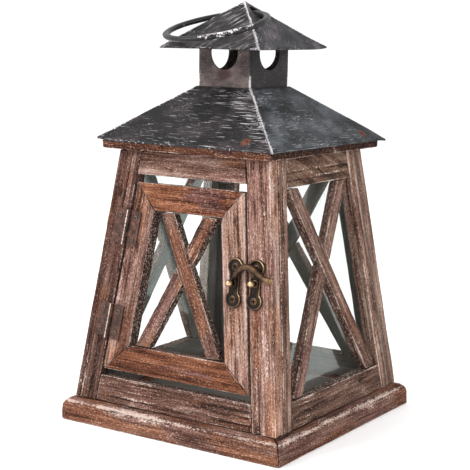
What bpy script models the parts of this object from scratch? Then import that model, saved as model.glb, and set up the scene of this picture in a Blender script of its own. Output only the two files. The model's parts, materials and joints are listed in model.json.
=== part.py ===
"""Hanging lantern: a tapered timber body on a mitred base, four walls with crossed bars and glass,
a mitred door on two small butt hinges with a hook latch, and a sheet-metal roof with a square
chimney, a pyramid cap and a wire ring handle.

Metres, +Z up. The origin is the middle of the base's underside. The door is in the front wall,
which faces -Y. Each wall has its own coordinates: x along the wall to the right as seen from
outside, y up its slope from the top of the base, and z out of the wall, 0 on its outer face.
"""
import math

import bmesh
import bpy
from mathutils import Matrix, Vector

MM = 0.001
GAP = 0.3 * MM              # left between pieces that touch
JOINT = GAP / 2             # each piece's share of it at a mitre

# Driving dimensions
BASE_SIDE = 150 * MM
BASE_THICK = 13.5 * MM
FOOT_HALF = 69.3 * MM       # half width of the body where it stands on the base
TOP_HALF = 50.6 * MM        # half width of the body under the top board
BODY_TOP = 158.3 * MM
STOCK = 8.5 * MM            # thickness of the timber in walls and door

BASE_STRIP = 20 * MM
BASE_ROUND = 6 * MM
FLOOR_UNDERSIDE = 3 * MM

DOOR_STILE_INSET = 15.5 * MM    # width of the two stiles beside the door
WALL_STILE_INSET = 17.5 * MM    # the same in the three fixed walls
DOOR_RAIL_LOW = 15.8 * MM       # upper edge of the rail below the door
DOOR_RAIL_HIGH = 132.2 * MM     # lower edge of the rail above the door
WALL_RAIL_LOW = 15.6 * MM
WALL_RAIL_HIGH = 129.2 * MM

DOOR_LOW = 19.4 * MM
DOOR_HIGH = 128.4 * MM
DOOR_SIDE_GAP = 1.0 * MM
DOOR_MEMBER = 15.8 * MM

BAR_WIDTH = 9 * MM
BAR_THICK = 6.2 * MM
BAR_SETBACK = 1.2 * MM
BAR_CORNER = 8 * MM         # from a window's corner to the middle of the bar's end

GLASS = 2 * MM
GLASS_LAP = 4 * MM          # how far a pane reaches behind its frame

EDGE = 0.8 * MM             # worn arris on every timber edge
SPARE = 30 * MM             # extra length and width of a blank before it is sawn

BOARD_HALF = 57.6 * MM
BOARD_THICK = 6.1 * MM
BOARD_VENT_RADIUS = 15 * MM

SHEET = 1.2 * MM
ROOF_EAVE_HALF = 61.2 * MM
ROOF_EAVE_Z = 163.9 * MM
ROOF_SLOPE = math.radians(35.8)
CHIMNEY_HALF = 18.5 * MM
CHIMNEY_FOOT_Z = 188 * MM
CHIMNEY_SHEET = 1.0 * MM
VENT_RADIUS = 9.7 * MM
VENT_Z = 213.2 * MM
CAP_HALF = 34.7 * MM
CAP_EAVE_Z = 216.2 * MM
CAP_APEX_Z = 242.4 * MM
ROOF_TURN = math.radians(-1.3)      # the roof, chimney and cap sit a little askew
CHIMNEY_TURN = math.radians(-3.5)
CAP_TURN = math.radians(-2.0)

RING_AXIS_Z = 235.0 * MM
RING_RADIUS = 28.5 * MM
RING_WIRE = 2.1 * MM        # half its width; its thickness is less
RING_FLATNESS = 0.75
RING_DROOP = math.radians(15)
RING_TWIST = math.radians(-11)      # the loose ring lies aslant in its two holes
RING_SHIFT = 3.7 * MM
RING_HOLE = 4.0 * MM

PIN_PROUD = 1.8 * MM        # hinge pin's middle above the wall's face
PIN_RADIUS = 0.6 * MM
KNUCKLE_RADIUS = 1.5 * MM
LEAF_THICK = 0.9 * MM
LEAF_REACH = 8.5 * MM
HINGE_LENGTH = 20 * MM
HINGE_HEIGHTS = {"upper": 101.9 * MM, "lower": 47.7 * MM}
KNUCKLES = 5

PLATE_THICK = 0.9 * MM
PLATE_LOBE = 4.9 * MM
PLATE_SPREAD = 8.8 * MM     # from the plate's middle to the middle of each lobe
PLATE_WAIST = math.radians(50)
DOOR_PLATE = (35.5 * MM, 79.0 * MM)
FRAME_PLATE = (49.0 * MM, 79.4 * MM)
PIVOT_HOLE = 1.0 * MM
EYE_RADIUS = 2.8 * MM
EYE_THICK = 1.8 * MM
PIVOT_SHANK = 0.7 * MM
RIVET_HEAD = 1.9 * MM       # a ball
CATCH = (48.8 * MM, 80.0 * MM)
CATCH_HEAD = 2.1 * MM       # a ball
CATCH_PROUD = 4.6 * MM      # its middle above the wall's face
CATCH_SHANK = 1.5 * MM
ARM_PROUD = 3.7 * MM        # middle of the arm's rod above the wall's face

LEAN = math.atan2(FOOT_HALF - TOP_HALF, BODY_TOP - BASE_THICK)
SLOPE_LENGTH = math.hypot(FOOT_HALF - TOP_HALF, BODY_TOP - BASE_THICK)
TURNS = {"front": 0.0, "right": math.pi / 2, "back": math.pi, "left": -math.pi / 2}


# Scene, collections and finishes

for old in list(bpy.data.objects):
    bpy.data.objects.remove(old, do_unlink=True)

parts = bpy.data.collections.new("hanging_lantern")
cutters = bpy.data.collections.new("cutters")
bpy.context.scene.collection.children.link(parts)
bpy.context.scene.collection.children.link(cutters)


def finish(name, colour, roughness, metallic=0.0, alpha=1.0):
    material = bpy.data.materials.new(name)
    material.use_nodes = True
    shader = material.node_tree.nodes["Principled BSDF"]
    shader.inputs["Base Color"].default_value = (*colour, 1)
    shader.inputs["Roughness"].default_value = roughness
    shader.inputs["Metallic"].default_value = metallic
    shader.inputs["Alpha"].default_value = alpha
    return material


wood = finish("weathered_wood", (0.22, 0.13, 0.10), 0.85)
door_wood = finish("door_wood", (0.24, 0.12, 0.07), 0.85)
ring_wire = finish("ring_wire", (0.03, 0.03, 0.032), 0.4, 0.9)
roof_metal = finish("roof_metal", (0.05, 0.05, 0.055), 0.55, 0.8)
chimney_metal = finish("chimney_metal", (0.09, 0.075, 0.07), 0.6, 0.7)
hinge_iron = finish("hinge_iron", (0.10, 0.05, 0.03), 0.6, 0.8)
antique_brass = finish("antique_brass", (0.20, 0.13, 0.06), 0.4, 0.9)
pane_glass = finish("pane_glass", (0.75, 0.82, 0.80), 0.05, 0.0, 0.3)


def place(thing, matrix, pivot=None):
    """Put an object at a world matrix, under the pivot empty that it turns with."""
    parts.objects.link(thing)
    thing.parent = pivot
    thing.matrix_basis = pivot.matrix_world.inverted() @ matrix if pivot else matrix
    return thing


def pivot_empty(name, matrix, parent=None):
    empty = bpy.data.objects.new(name, None)
    empty.empty_display_size = 10 * MM
    place(empty, matrix, parent)
    bpy.context.view_layer.update()
    return empty


def object_from(shape, name, material):
    bmesh.ops.recalc_face_normals(shape, faces=shape.faces)
    mesh = bpy.data.meshes.new(name)
    shape.to_mesh(mesh)
    shape.free()
    mesh.materials.append(material)
    return bpy.data.objects.new(name, mesh)


def soften(thing, width, segments=1):
    bevel = thing.modifiers.new("arris", "BEVEL")
    bevel.width = width
    bevel.segments = segments
    bevel.limit_method = "ANGLE"
    bevel.angle_limit = math.radians(30)


def cut_with(thing, cutter, operation="DIFFERENCE"):
    """Boolean with a cutter or with a shape to join, which is kept out of the model."""
    cutters.objects.link(cutter)
    cutter.hide_render = True
    cutter.display_type = "WIRE"
    change = thing.modifiers.new(operation.lower(), "BOOLEAN")
    change.operation = operation
    change.object = cutter
    change.solver = "EXACT"


def box(size, middle):
    shape = bmesh.new()
    matrix = Matrix.Translation(middle) @ Matrix.Diagonal((*size, 1))
    bmesh.ops.create_cube(shape, size=1, matrix=matrix)
    return shape


def rod(radius, length, middle, axis="Z", sides=32):
    """A round bar along an axis, as a bmesh."""
    shape = bmesh.new()
    turn = {"X": Matrix.Rotation(math.pi / 2, 4, "Y"), "Y": Matrix.Rotation(math.pi / 2, 4, "X"),
            "Z": Matrix.Identity(4)}[axis]
    bmesh.ops.create_cone(shape, cap_ends=True, segments=sides, radius1=radius, radius2=radius,
                          depth=length, matrix=Matrix.Translation(middle) @ turn)
    return shape


# Wall coordinates and saw cuts. A cut is a point and a normal: what lies beyond it is sawn off.

def wall_matrix(turn):
    foot = Matrix.Translation((0, -FOOT_HALF, BASE_THICK))
    return Matrix.Rotation(turn, 4, "Z") @ foot @ Matrix.Rotation(math.pi / 2 - LEAN, 4, "X")


WORLD_TO_WALL = wall_matrix(0).inverted()


def flipped(cut):
    return cut[0], -cut[1]


def edge_cut(side, inset):
    """Along the wall's slanted left or right edge, this far in from it."""
    return Vector((side * (FOOT_HALF - inset), 0, 0)), Vector((side, math.sin(LEAN), 0))


def rail_cut(height, up):
    """Straight across the wall at a height up its slope."""
    return Vector((0, height, 0)), Vector((0, up, 0))


def level_cut(z, up):
    """Horizontal in the world, at a height above the table."""
    return WORLD_TO_WALL @ Vector((0, 0, z)), WORLD_TO_WALL.to_3x3() @ Vector((0, 0, up))


def neighbour_cut(side, depth):
    """The plane at a depth inside the next wall's outer face."""
    next_wall = WORLD_TO_WALL @ wall_matrix(side * math.pi / 2)
    return next_wall @ Vector((0, 0, -depth)), next_wall.to_3x3() @ Vector((0, 0, 1))


def line_cut(start, end, side, offset):
    """Along a line on the wall, moved sideways. The side left (+1) or right (-1) of it goes."""
    start, end = Vector((*start, 0)), Vector((*end, 0))
    run = (end - start).normalized()
    normal = side * Vector((-run.y, run.x, 0))
    return start + offset * normal, normal


def half_width(height, inset=0.0):
    """Half the wall's width at a height up its slope, less an inset."""
    return FOOT_HALF - height * math.sin(LEAN) - inset


def board(name, turn, start, end, width, depth, thick, cuts, material, pivot=None, edge=EDGE):
    """A sawn board in a wall: a blank along the line from start to end, then its saw cuts."""
    start, end = Vector((*start, 0)), Vector((*end, 0))
    run = end - start
    middle = Matrix.Translation((start + end) / 2 - Vector((0, 0, depth + thick / 2)))
    size = Matrix.Diagonal((run.length + 2 * SPARE, width, thick, 1))
    shape = bmesh.new()
    bmesh.ops.create_cube(shape, size=1,
                          matrix=middle @ Matrix.Rotation(math.atan2(run.y, run.x), 4, "Z") @ size)
    for point, normal in cuts:
        everything = shape.verts[:] + shape.edges[:] + shape.faces[:]
        bmesh.ops.bisect_plane(shape, geom=everything, dist=1e-7, plane_co=point,
                               plane_no=normal, clear_outer=True)
        bmesh.ops.holes_fill(shape, edges=shape.edges[:], sides=0)
    piece = place(object_from(shape, name, material), wall_matrix(turn), pivot)
    if edge:
        soften(piece, edge)
    return piece


def window_corners(inset, low, high):
    """Four corners of a tapered opening: top left, top right, bottom right, bottom left."""
    top, bottom = half_width(high, inset), half_width(low, inset)
    return (-top, high), (top, high), (bottom, low), (-bottom, low)


# Base: four mitred strips with a rounded top edge, and a floor panel between them

def base_strip(name, turn):
    half = BASE_SIDE / 2
    shape = box((BASE_SIDE + 2 * SPARE, BASE_STRIP, BASE_THICK),
                (0, -half + BASE_STRIP / 2, BASE_THICK / 2))
    outer_top = [edge for edge in shape.edges
                 if all(v.co.y < -half + JOINT and v.co.z > BASE_THICK - JOINT for v in edge.verts)]
    bmesh.ops.bevel(shape, geom=outer_top, offset=BASE_ROUND, segments=6, profile=0.5,
                    affect="EDGES")
    for side in (-1, 1):
        bmesh.ops.bisect_plane(shape, geom=shape.verts[:] + shape.edges[:] + shape.faces[:],
                               dist=1e-7, plane_co=(-side * JOINT, 0, 0), plane_no=(side, 1, 0),
                               clear_outer=True)
        bmesh.ops.holes_fill(shape, edges=shape.edges[:], sides=0)
    strip = place(object_from(shape, name, wood), Matrix.Rotation(turn, 4, "Z"))
    soften(strip, EDGE / 2)


for wall, turn in TURNS.items():
    base_strip("base_strip_" + wall, turn)

floor_half = BASE_SIDE / 2 - BASE_STRIP - GAP
floor_panel = object_from(box((2 * floor_half, 2 * floor_half, BASE_THICK - FLOOR_UNDERSIDE),
                              (0, 0, (BASE_THICK + FLOOR_UNDERSIDE) / 2)), "floor_panel", wood)
soften(place(floor_panel, Matrix.Identity(4)), EDGE / 2)


# Walls: two stiles and two rails each. The front and back frames run the full width, and the
# side frames fit between them.

def wall_frame(wall, inset, rail_low, rail_high, end_depth):
    turn = TURNS[wall]
    ends = [level_cut(BASE_THICK + GAP, -1), level_cut(BODY_TOP - GAP, 1)]
    for side, label in ((-1, "left"), (1, "right")):
        foot = (side * (FOOT_HALF - inset / 2), 0)
        head = (side * (TOP_HALF - inset / 2), SLOPE_LENGTH)
        cuts = ends + [neighbour_cut(side, end_depth), flipped(edge_cut(side, inset))]
        board(f"{wall}_stile_{label}", turn, foot, head, inset + SPARE, 0, STOCK, cuts, wood)
    beside = [edge_cut(side, inset + GAP) for side in (-1, 1)]
    for label, edge, cuts in (("bottom", rail_low, [ends[0], rail_cut(rail_low, 1)]),
                              ("top", rail_high, [ends[1], rail_cut(rail_high, -1)])):
        board(f"{wall}_rail_{label}", turn, (-FOOT_HALF, edge), (FOOT_HALF, edge), 2 * SPARE,
              0, STOCK, cuts + beside, wood)


def crossed_bars(prefix, turn, inset, low, high, material, pivot=None):
    """A whole bar from top left to bottom right, and a bar in two halves across it."""
    window = [edge_cut(side, inset + GAP) for side in (-1, 1)]
    window += [rail_cut(low + GAP, -1), rail_cut(high - GAP, 1)]
    top = half_width(high, inset) - BAR_CORNER
    bottom = half_width(low, inset) - BAR_CORNER
    whole = ((-top, high), (bottom, low))
    crossing = ((top, high), (-bottom, low))
    board(prefix + "_bar_whole", turn, *whole, BAR_WIDTH, BAR_SETBACK, BAR_THICK, window,
          material, pivot)
    for label, side in (("upper", -1), ("lower", 1)):
        beside_whole = line_cut(*whole, side, -BAR_WIDTH / 2 - GAP)
        board(f"{prefix}_bar_{label}", turn, *crossing, BAR_WIDTH, BAR_SETBACK, BAR_THICK,
              window + [beside_whole], material, pivot)


def pane(name, turn, inset, low, high, pivot=None):
    """A pane lapped behind its frame all round."""
    cuts = [edge_cut(side, inset - GLASS_LAP) for side in (-1, 1)]
    cuts += [rail_cut(low - GLASS_LAP, -1), rail_cut(high + GLASS_LAP, 1)]
    board(name, turn, (0, low), (0, high), 2 * FOOT_HALF, STOCK + GAP, GLASS, cuts, pane_glass,
          pivot, edge=0)


wall_frame("front", DOOR_STILE_INSET, DOOR_RAIL_LOW, DOOR_RAIL_HIGH, 0)
wall_frame("back", WALL_STILE_INSET, WALL_RAIL_LOW, WALL_RAIL_HIGH, 0)
for wall in ("right", "left"):
    wall_frame(wall, WALL_STILE_INSET, WALL_RAIL_LOW, WALL_RAIL_HIGH, STOCK + GAP)
for wall in ("back", "right", "left"):
    crossed_bars(wall, TURNS[wall], WALL_STILE_INSET, WALL_RAIL_LOW, WALL_RAIL_HIGH, wood)
    pane(wall + "_glass", TURNS[wall], WALL_STILE_INSET, WALL_RAIL_LOW, WALL_RAIL_HIGH)


# Door: its axis runs along the left stile's slanted edge, proud of the wall's face, and its
# members meet in mitres from each outer corner to the window's corner.

def hinge_matrix(height):
    """The hinge axis at a height: local y up the axis, x towards the door, z out of the wall."""
    across = -half_width(height, DOOR_STILE_INSET + DOOR_SIDE_GAP / 2)
    slant = Matrix.Rotation(-math.atan(math.sin(LEAN)), 4, "Z")
    return wall_matrix(0) @ Matrix.Translation((across, height, PIN_PROUD)) @ slant


door_axis = pivot_empty("door_axis", hinge_matrix(HINGE_HEIGHTS["lower"]))

door_inset = DOOR_STILE_INSET + DOOR_SIDE_GAP
glass_inset = door_inset + DOOR_MEMBER
window_low, window_high = DOOR_LOW + DOOR_MEMBER, DOOR_HIGH - DOOR_MEMBER
outer = window_corners(door_inset, DOOR_LOW, DOOR_HIGH)
inner = window_corners(glass_inset, window_low, window_high)
door_sides = {
    "rail_top": (0, 1, rail_cut(DOOR_HIGH, 1), rail_cut(window_high, -1)),
    "stile_right": (1, 2, edge_cut(1, door_inset), flipped(edge_cut(1, glass_inset))),
    "rail_bottom": (2, 3, rail_cut(DOOR_LOW, -1), rail_cut(window_low, 1)),
    "stile_left": (3, 0, edge_cut(-1, door_inset), flipped(edge_cut(-1, glass_inset))),
}
for label, (first, last, outside, inside) in door_sides.items():
    mitres = [line_cut(outer[first], inner[first], -1, -JOINT),
              line_cut(outer[last], inner[last], 1, -JOINT)]
    board("door_" + label, 0, outer[first], outer[last], 2 * SPARE, 0, STOCK,
          mitres + [outside, inside], door_wood, door_axis)
crossed_bars("door", 0, glass_inset, window_low, window_high, door_wood, door_axis)
pane("door_glass", 0, glass_inset, window_low, window_high, door_axis)


# Butt hinges: each leaf is a plate with a rolled edge, notched for the other leaf's knuckles

def leaf_profile(side):
    """A leaf's section: the plate and the rolled barrel around the bore, extruded to length."""
    curve = bpy.data.curves.new("leaf_profile", "CURVE")
    curve.dimensions = "2D"
    curve.fill_mode = "BOTH"
    curve.extrude = HINGE_LENGTH / 2
    plate_top = -KNUCKLE_RADIUS + LEAF_THICK
    seam = math.asin(-plate_top / KNUCKLE_RADIUS)
    steps = 18
    around = [-seam + (1.5 * math.pi + seam) * i / steps for i in range(steps + 1)]
    barrel = [(side * KNUCKLE_RADIUS * math.cos(a), KNUCKLE_RADIUS * math.sin(a)) for a in around]
    section = [(side * LEAF_REACH, -KNUCKLE_RADIUS), (side * LEAF_REACH, plate_top)] + barrel
    bore_radius = PIN_RADIUS + GAP
    bore = [(bore_radius * math.cos(2 * math.pi * i / steps),
             bore_radius * math.sin(2 * math.pi * i / steps)) for i in range(steps)]
    for points in (section, bore):
        spline = curve.splines.new("POLY")
        spline.points.add(len(points) - 1)
        for point, (x, z) in zip(spline.points, points):
            point.co = (x, z, 0, 1)
        spline.use_cyclic_u = True
    return curve


def mesh_of(curve, name, material):
    """A closed mesh object from a curve, with its caps welded on."""
    holder = bpy.data.objects.new(name, curve)
    parts.objects.link(holder)
    bpy.context.view_layer.update()
    solid = holder.evaluated_get(bpy.context.evaluated_depsgraph_get())
    mesh = bpy.data.meshes.new_from_object(solid)
    bpy.data.objects.remove(holder, do_unlink=True)
    shape = bmesh.new()
    shape.from_mesh(mesh)
    bpy.data.meshes.remove(mesh)
    bmesh.ops.remove_doubles(shape, verts=shape.verts, dist=1e-6)
    return object_from(shape, name, material)


knuckle_length = (HINGE_LENGTH - (KNUCKLES - 1) * GAP) / KNUCKLES
notch_reach = KNUCKLE_RADIUS + GAP


def hinge_leaf(name, matrix, side, notched, pivot=None):
    leaf = mesh_of(leaf_profile(side), name, hinge_iron)
    leaf.data.transform(Matrix.Rotation(math.pi / 2, 4, "X"))
    for index in notched:
        middle = -HINGE_LENGTH / 2 + knuckle_length / 2 + index * (knuckle_length + GAP)
        notch = object_from(box((2 * notch_reach, knuckle_length + 2 * GAP, 2 * notch_reach),
                                (0, middle, 0)), f"{name}_notch_{index}", hinge_iron)
        notch.matrix_world = matrix
        cut_with(leaf, notch)
    place(leaf, matrix, pivot)


for label, height in HINGE_HEIGHTS.items():
    here = hinge_matrix(height)
    hinge_leaf(f"hinge_{label}_frame_leaf", here, -1, (1, 3))
    hinge_leaf(f"hinge_{label}_door_leaf", here, 1, (0, 2, 4), door_axis)
    pin = object_from(rod(PIN_RADIUS, HINGE_LENGTH, (0, 0, 0), "Y", 16),
                      f"hinge_{label}_pin", hinge_iron)
    place(pin, here)


# Hook latch: two waisted plates, an arm that pivots on the door's plate, and a catch knob

def waisted_plate(name, middle, pivot=None):
    """Two round lobes joined by a waist, as one flat outline."""
    curve = bpy.data.curves.new(name, "CURVE")
    curve.dimensions = "2D"
    curve.fill_mode = "BOTH"
    curve.extrude = PLATE_THICK / 2
    steps = 16
    sweep = 2 * math.pi - 2 * (math.pi / 2 - PLATE_WAIST)
    points = []
    for side in (1, -1):
        for i in range(steps + 1):
            angle = side * math.pi / 2 - sweep / 2 + sweep * i / steps
            points.append((PLATE_LOBE * math.cos(angle),
                           side * PLATE_SPREAD + PLATE_LOBE * math.sin(angle)))
    spline = curve.splines.new("POLY")
    spline.points.add(len(points) - 1)
    for point, (x, y) in zip(spline.points, points):
        point.co = (x, y, 0, 1)
    spline.use_cyclic_u = True
    plate = mesh_of(curve, name, antique_brass)
    place(plate, wall_matrix(0) @ Matrix.Translation((*middle, GAP + PLATE_THICK / 2)), pivot)


def turned(name, profile, middle, pivot=None, steps=24):
    """A piece turned about the wall's normal from (radius, height) points, top to bottom."""
    mesh = bpy.data.meshes.new(name)
    points = [(radius, 0, height) for radius, height in profile]
    mesh.from_pydata(points, [(i, i + 1) for i in range(len(points) - 1)], [])
    mesh.materials.append(antique_brass)
    piece = bpy.data.objects.new(name, mesh)
    screw = piece.modifiers.new("turn", "SCREW")
    screw.steps = screw.render_steps = steps
    screw.use_merge_vertices = True
    screw.merge_threshold = 1e-6
    screw.use_smooth_shade = True
    place(piece, wall_matrix(0) @ Matrix.Translation((*middle, 0)), pivot)


def ball_profile(radius, height, stem_radius, foot, steps=8):
    """A ball on a stem: from the ball's top down its outside to the stem's foot."""
    low = -math.pi / 2 + math.asin(stem_radius / radius)
    angles = [math.pi / 2 + (low - math.pi / 2) * i / steps for i in range(steps + 1)]
    ball = [(radius * math.cos(a), height + radius * math.sin(a)) for a in angles]
    ball[0] = (0, height + radius)
    return ball + [(stem_radius, foot), (0, foot)]


latch_pivot = Vector((*DOOR_PLATE, 0))
latch_axis = pivot_empty("latch_axis", wall_matrix(0) @ Matrix.Translation(latch_pivot), door_axis)
waisted_plate("latch_door_plate", DOOR_PLATE, door_axis)
waisted_plate("latch_frame_plate", FRAME_PLATE)

plate_top = GAP + PLATE_THICK
turned("latch_catch", ball_profile(CATCH_HEAD, CATCH_PROUD, CATCH_SHANK, plate_top + GAP), CATCH)

eye_low = plate_top + GAP
eye_high = eye_low + EYE_THICK
rivet_ball = eye_high + GAP + RIVET_HEAD
turned("latch_rivet", ball_profile(RIVET_HEAD, rivet_ball, PIVOT_SHANK, eye_low), DOOR_PLATE,
       door_axis)


def swept(name, points, radii):
    """A bent rod through points around the latch pivot, with its own thickness at each."""
    curve = bpy.data.curves.new(name, "CURVE")
    curve.dimensions = "3D"
    curve.bevel_depth = MM
    curve.bevel_resolution = 2
    curve.use_fill_caps = True
    spline = curve.splines.new("POLY")
    spline.points.add(len(points) - 1)
    for point, (x, y), radius in zip(spline.points, points, radii):
        point.co = (x * MM, y * MM, ARM_PROUD, 1)
        point.radius = radius
    return mesh_of(curve, name, antique_brass)


# The arm, in millimetres from its pivot: the horn rises from the eye, arches over the catch and
# ends in a ball, and a finger drops from the arch to just above the catch.
HORN = [(1.3, 2.0), (1.9, 3.6), (3.4, 6.4), (6.2, 9.0), (9.6, 9.9), (13.0, 9.0), (16.2, 6.9),
        (18.8, 5.1), (20.6, 4.3), (22.0, 3.9), (23.4, 3.6), (24.8, 3.3), (25.4, 3.2)]
HORN_RADII = [0.8, 1.15, 1.35, 1.55, 1.7, 1.65, 1.5, 1.35, 1.4, 1.8, 2.1, 1.6, 0.8]
FINGER = [(13.4, 8.8), (13.4, 6.4), (13.4, 4.6), (13.4, 3.9)]
FINGER_RADII = [0.9, 1.0, 0.95, 0.5]

arm = object_from(rod(EYE_RADIUS, eye_high - eye_low, (0, 0, (eye_low + eye_high) / 2)),
                  "latch_arm", antique_brass)
for label, points, radii in (("horn", HORN, HORN_RADII), ("finger", FINGER, FINGER_RADII)):
    limb = swept("latch_arm_" + label, points, radii)
    limb.matrix_world = latch_axis.matrix_world
    cut_with(arm, limb, "UNION")
bore = object_from(rod(PIVOT_HOLE, 3 * EYE_THICK, (0, 0, (eye_low + eye_high) / 2)),
                   "latch_arm_bore", antique_brass)
bore.matrix_world = latch_axis.matrix_world
cut_with(arm, bore)
place(arm, latch_axis.matrix_world, latch_axis)


# Top: board with a vent, hipped roof, chimney with four vents, pyramid cap and ring handle

board_middle = BODY_TOP + BOARD_THICK / 2
top_board = object_from(box((2 * BOARD_HALF, 2 * BOARD_HALF, BOARD_THICK), (0, 0, board_middle)),
                        "top_board", wood)
top_board.data.transform(Matrix.Rotation(ROOF_TURN, 4, "Z"))
soften(place(top_board, Matrix.Identity(4)), EDGE)
cut_with(top_board, object_from(rod(BOARD_VENT_RADIUS, 3 * BOARD_THICK, (0, 0, board_middle)),
                                "top_board_vent", wood))


def sheet_pyramid(name, low_half, low_z, high_half, high_z, thick, material, low_turn, high_turn):
    """Four sloping sides of folded sheet, open below, and above where they don't meet.

    Its lower and its upper square are turned a little about Z.
    """
    shape = bmesh.new()
    bmesh.ops.create_cone(shape, cap_ends=False, segments=4, radius1=low_half * math.sqrt(2),
                          radius2=high_half * math.sqrt(2), depth=high_z - low_z,
                          matrix=Matrix.Translation((0, 0, (low_z + high_z) / 2))
                          @ Matrix.Rotation(math.pi / 4, 4, "Z"))
    bmesh.ops.remove_doubles(shape, verts=shape.verts, dist=1e-7)
    middle = (low_z + high_z) / 2
    for corner in shape.verts:
        turn = low_turn if corner.co.z < middle else high_turn
        corner.co = Matrix.Rotation(turn, 3, "Z") @ corner.co
    hood = object_from(shape, name, material)
    shell = hood.modifiers.new("sheet", "SOLIDIFY")
    shell.thickness = thick
    shell.offset = -1
    shell.use_even_offset = True
    return place(hood, Matrix.Identity(4))


roof_top_half = CHIMNEY_HALF + GAP + SHEET * math.sin(ROOF_SLOPE)
roof_top_z = ROOF_EAVE_Z + (ROOF_EAVE_HALF - roof_top_half) * math.tan(ROOF_SLOPE)
sheet_pyramid("roof", ROOF_EAVE_HALF, ROOF_EAVE_Z, roof_top_half, roof_top_z, SHEET, roof_metal,
              ROOF_TURN, CHIMNEY_TURN)

cap_slope = math.atan2(CAP_APEX_Z - CAP_EAVE_Z, CAP_HALF)
askew = abs(CAP_TURN - CHIMNEY_TURN)
corner_reach = CHIMNEY_HALF * (math.cos(askew) + math.sin(askew))
chimney_top_z = (CAP_APEX_Z - corner_reach * math.tan(cap_slope)
                 - (SHEET + GAP) / math.cos(cap_slope))
chimney = sheet_pyramid("chimney", CHIMNEY_HALF, CHIMNEY_FOOT_Z, CHIMNEY_HALF, chimney_top_z,
                        CHIMNEY_SHEET, chimney_metal, CHIMNEY_TURN, CHIMNEY_TURN)
cap = sheet_pyramid("cap", CAP_HALF, CAP_EAVE_Z, 0, CAP_APEX_Z, SHEET, roof_metal,
                    CAP_TURN, CAP_TURN)
for axis in ("X", "Y"):
    vent = object_from(rod(VENT_RADIUS, 3 * CHIMNEY_HALF, (0, 0, VENT_Z), axis),
                       "chimney_vent_" + axis, chimney_metal)
    vent.data.transform(Matrix.Rotation(CHIMNEY_TURN, 4, "Z"))
    cut_with(chimney, vent)
cut_with(cap, object_from(rod(RING_HOLE, 2 * CAP_HALF, (0, 0, RING_AXIS_Z), "X", 20),
                          "ring_hole", roof_metal))

ring_axis = pivot_empty("ring_axis", Matrix.Translation((0, 0, RING_AXIS_Z)))
entry_half = (CAP_APEX_Z - RING_AXIS_Z) / math.tan(cap_slope)
reach = math.sqrt(RING_RADIUS ** 2 - entry_half ** 2)
bpy.ops.mesh.primitive_torus_add(major_radius=RING_RADIUS, minor_radius=RING_WIRE,
                                 major_segments=72, minor_segments=10)
ring = bpy.context.object
for collection in ring.users_collection:
    collection.objects.unlink(ring)
ring.name = ring.data.name = "ring_handle"
ring.data.transform(Matrix.Rotation(RING_TWIST, 4, "Z") @ Matrix.Rotation(RING_DROOP, 4, "X")
                    @ Matrix.Translation((RING_SHIFT, -reach, 0))
                    @ Matrix.Diagonal((1, 1, RING_FLATNESS, 1)))
ring.data.materials.append(ring_wire)
ring.data.shade_smooth()
place(ring, ring_axis.matrix_world, ring_axis)
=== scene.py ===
import json
import math
from itertools import count, product

import bmesh
import bpy
import numpy as np
from mathutils import Matrix, Vector, noise
from mathutils.kdtree import KDTree


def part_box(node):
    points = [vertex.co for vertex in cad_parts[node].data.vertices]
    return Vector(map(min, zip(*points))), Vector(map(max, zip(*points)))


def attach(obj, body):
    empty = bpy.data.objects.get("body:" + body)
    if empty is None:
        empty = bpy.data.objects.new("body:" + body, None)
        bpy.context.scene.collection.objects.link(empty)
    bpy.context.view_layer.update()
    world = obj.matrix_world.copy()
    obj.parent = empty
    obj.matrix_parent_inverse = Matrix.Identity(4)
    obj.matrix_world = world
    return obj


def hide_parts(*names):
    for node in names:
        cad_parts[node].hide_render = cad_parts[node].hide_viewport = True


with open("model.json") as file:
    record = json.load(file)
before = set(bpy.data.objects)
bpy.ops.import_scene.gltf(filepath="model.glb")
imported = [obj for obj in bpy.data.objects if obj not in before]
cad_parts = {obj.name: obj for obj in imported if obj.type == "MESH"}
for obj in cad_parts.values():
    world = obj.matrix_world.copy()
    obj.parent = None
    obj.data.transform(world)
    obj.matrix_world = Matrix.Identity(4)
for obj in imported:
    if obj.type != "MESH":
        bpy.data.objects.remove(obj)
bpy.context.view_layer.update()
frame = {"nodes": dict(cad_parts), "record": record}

MM = 0.001

# ---------------------------------------------------------------------------------------------
# Base: four mitred softwood strips with a rounded top edge round a plain floor panel. The wood
# is wire-brushed along its grain, stained brown, whitewashed and rubbed back at the edges.


class Layer:
    """A socket of a finish that can be used in sums. Each sum adds a Math node."""

    def __init__(self, finish, socket):
        self.finish, self.socket = finish, socket

    def math(self, operation, first, second=None, clamp=False):
        inputs = {0: first} if second is None else {0: first, 1: second}
        return self.finish.node("Math", {"operation": operation, "use_clamp": clamp}, inputs)

    def __add__(self, other):
        return self.math("ADD", self, other)

    def __sub__(self, other):
        return self.math("SUBTRACT", self, other)

    def __rsub__(self, other):
        return self.math("SUBTRACT", other, self)

    def __mul__(self, other):
        return self.math("MULTIPLY", self, other)

    def __pow__(self, other):
        return self.math("POWER", self, other)

    __radd__, __rmul__ = __add__, __mul__

    def clamped(self):
        return self.math("ADD", self, 0.0, clamp=True)

    def above(self, low, high):
        """0 up to low, 1 from high, and a smooth step between them."""
        return self.finish.node("MapRange", {"interpolation_type": "SMOOTHSTEP"},
                                {"Value": self, "From Min": low, "From Max": high})


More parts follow.
